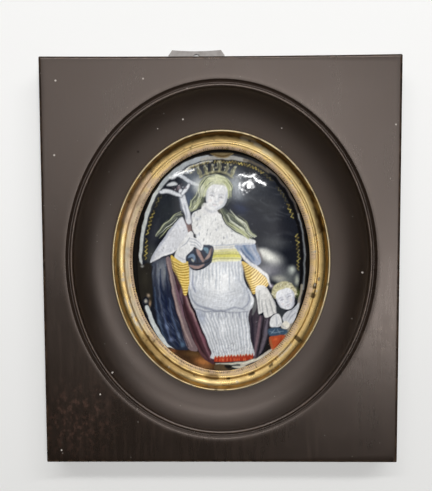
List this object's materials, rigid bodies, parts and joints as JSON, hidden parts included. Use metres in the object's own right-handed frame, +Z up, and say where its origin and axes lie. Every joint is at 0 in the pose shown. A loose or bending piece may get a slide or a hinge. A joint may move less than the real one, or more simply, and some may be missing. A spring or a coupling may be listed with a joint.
{
  "type": "framed enamel plaque",
  "caption": "Small domed oval painted enamel plaque in a brass bezel, set in the deep turned oval of a dark wooden frame, for hanging on a wall.",
  "frame": {"origin": "the middle of the flat back, on the plane that lies against the wall", "axes": "+Z up the wall, +X to the viewer's right, +Y out of the back into the wall, so the picture faces -Y"},
  "size_m": [0.1326, 0.014, 0.1561],
  "materials": {
    "ebonised_wood": "dark stained and waxed, satin, rubbed brown at the edges",
    "aged_brass": "old lacquered brass, satin, tarnished in the hollows",
    "painted_enamel": "glossy fused enamel, painted, with losses at the rim",
    "back_softwood": "raw softwood, aged and dusty",
    "dull_zinc": "dull weathered sheet metal"
  },
  "bodies": {
    "root": {"wood_frame": "ebonised_wood", "brass_bezel": "aged_brass", "enamel_plaque": "painted_enamel", "back_board": "back_softwood", "hanging_tab": "dull_zinc"}
  },
  "joints": []
}
